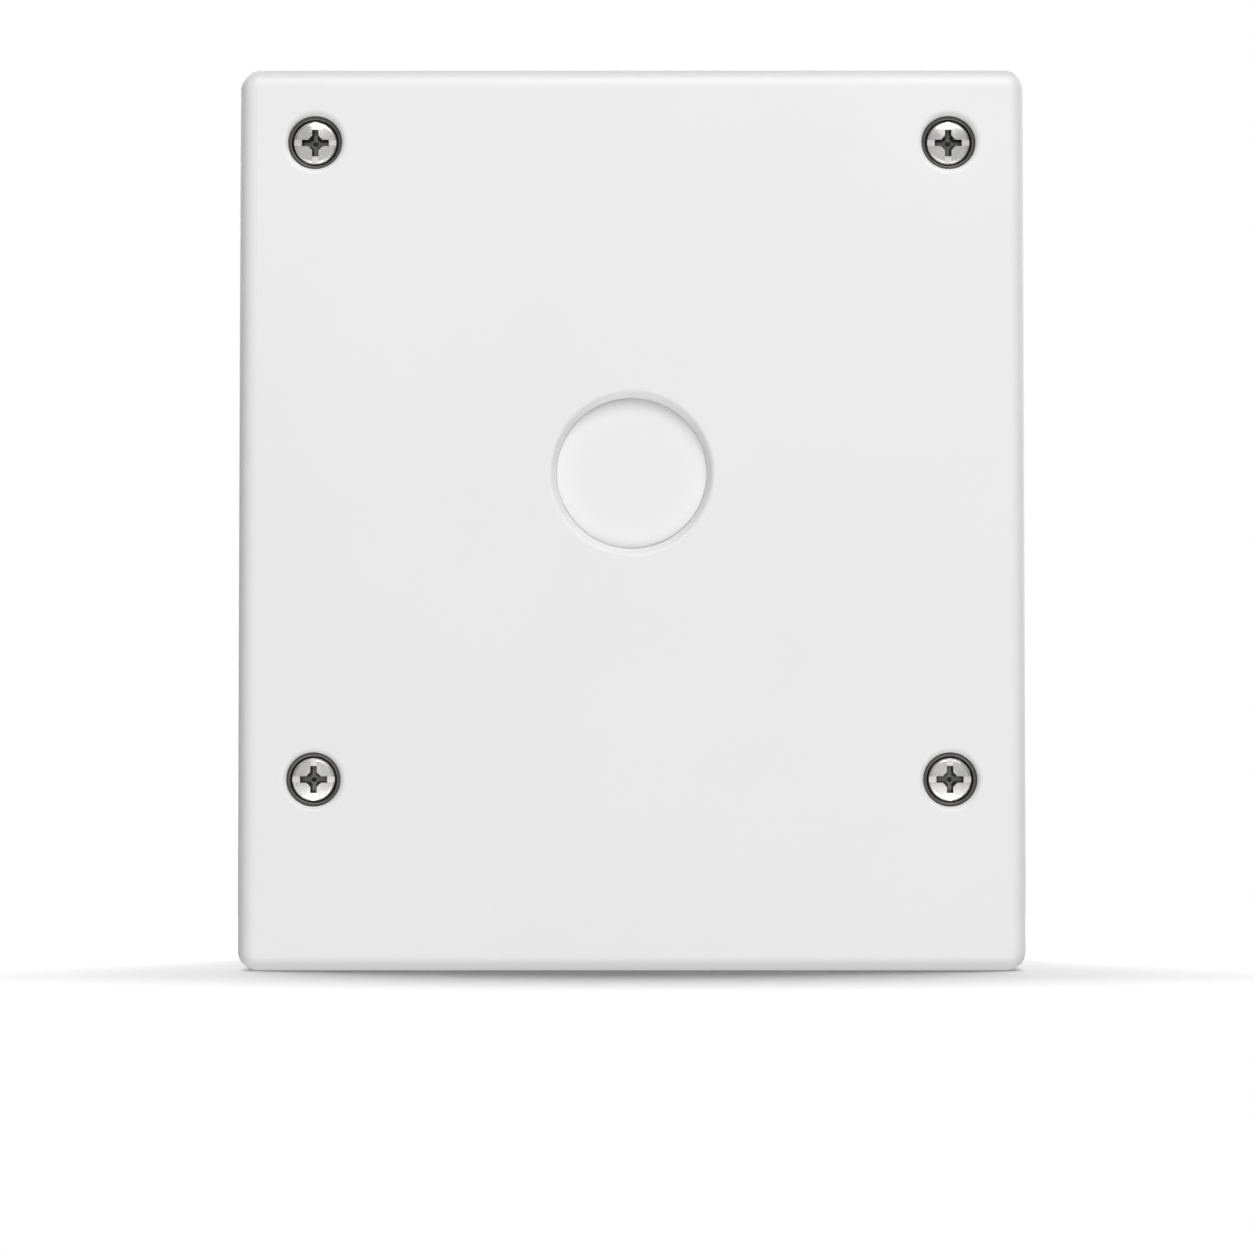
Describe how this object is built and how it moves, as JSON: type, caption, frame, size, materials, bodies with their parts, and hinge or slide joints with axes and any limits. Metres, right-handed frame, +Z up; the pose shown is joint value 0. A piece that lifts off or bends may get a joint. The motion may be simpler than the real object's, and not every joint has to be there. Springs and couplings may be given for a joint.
{
  "type": "manual call point",
  "caption": "Surface-mounted white manual call point: rounded rectangular case, recessed round push button, screwed cover, lever switch, circuit board and terminals behind it.",
  "frame": {"origin": "centre of the flat rear face that lies on the wall", "axes": "+Z up, +X to the right seen from the front, +Y into the wall; the front face and the button face -Y"},
  "size_m": [0.122, 0.05, 0.14],
  "materials": {
    "cover_white": "fine spark-eroded texture",
    "button_white": "smooth satin",
    "box_white": "fine spark-eroded texture",
    "screw_steel": "bright nickel plated",
    "cup_steel": "dark plated",
    "small_screw_steel": "zinc plated",
    "spring_steel": "drawn wire",
    "brass": "turned",
    "contact_silver": "silver plated strip",
    "seal_rubber": "matt",
    "grommet_rubber": "matt",
    "nylon": "natural nylon",
    "carrier_grey": "moulded",
    "board_green": "solder resist",
    "switch_black": "moulded",
    "plunger_red": "moulded",
    "terminal_grey": "moulded",
    "resistor_tan": "lacquered",
    "tinned_wire": "tinned"
  },
  "bodies": {
    "box": {"back_box": "box_white", "threaded_inserts": "brass", "cable_grommet": "grommet_rubber", "cover_gasket": "seal_rubber"},
    "cover": {"front_cover": "cover_white", "cover_screws": "screw_steel", "screw_cups": "cup_steel", "screw_retainers": "nylon", "spring_carrier": "carrier_grey", "carrier_screws": "small_screw_steel", "board_screws": "small_screw_steel", "return_spring": "spring_steel", "circuit_board": "board_green", "switch_base": "switch_black", "switch_lid": "switch_black", "switch_pivot_pin": "spring_steel", "common_terminal": "contact_silver", "open_terminal": "contact_silver", "closed_terminal": "contact_silver", "terminal_block": "terminal_grey", "terminal_cages": "brass", "terminal_screws": "small_screw_steel", "terminal_pins": "tinned_wire", "alarm_resistor": "resistor_tan", "line_resistor": "resistor_tan", "resistor_leads": "tinned_wire"},
    "button": {"push_button": "button_white"},
    "lever": {"switch_lever": "contact_silver"},
    "plunger": {"switch_plunger": "plunger_red"},
    "blade": {"switch_blade": "contact_silver"}
  },
  "joints": [
    {"name": "cover_release", "type": "slide", "parent": "box", "child": "cover", "axis": [0, -1, 0], "range_m": [0, 0.06]},
    {"name": "button_press", "type": "slide", "parent": "cover", "child": "button", "axis": [0, 1, 0], "range_m": [0, 0.003], "stiffness_N_per_m": 444, "springref_m": -0.006, "deforming": ["return_spring"]},
    {"name": "lever_turn", "type": "hinge", "parent": "cover", "child": "lever", "pos_m": [-0.012, -0.0299, 0.007], "axis": [0, 0, 1], "range_deg": [0, 13.4]},
    {"name": "plunger_travel", "type": "slide", "parent": "cover", "child": "plunger", "axis": [0, 1, 0], "range_m": [0, 0.0008]},
    {"name": "blade_turn", "type": "hinge", "parent": "cover", "child": "blade", "pos_m": [0.0041, -0.0256, 0.007], "axis": [0, 0, -1], "range_deg": [0, 3.8]}
  ],
  "couplings": [
    {"joint": "lever_turn", "follows": "button_press", "rad_per_m": 77.4},
    {"joint": "plunger_travel", "follows": "button_press", "ratio": 0.2627},
    {"joint": "blade_turn", "follows": "button_press", "rad_per_m": 21.6}
  ]
}
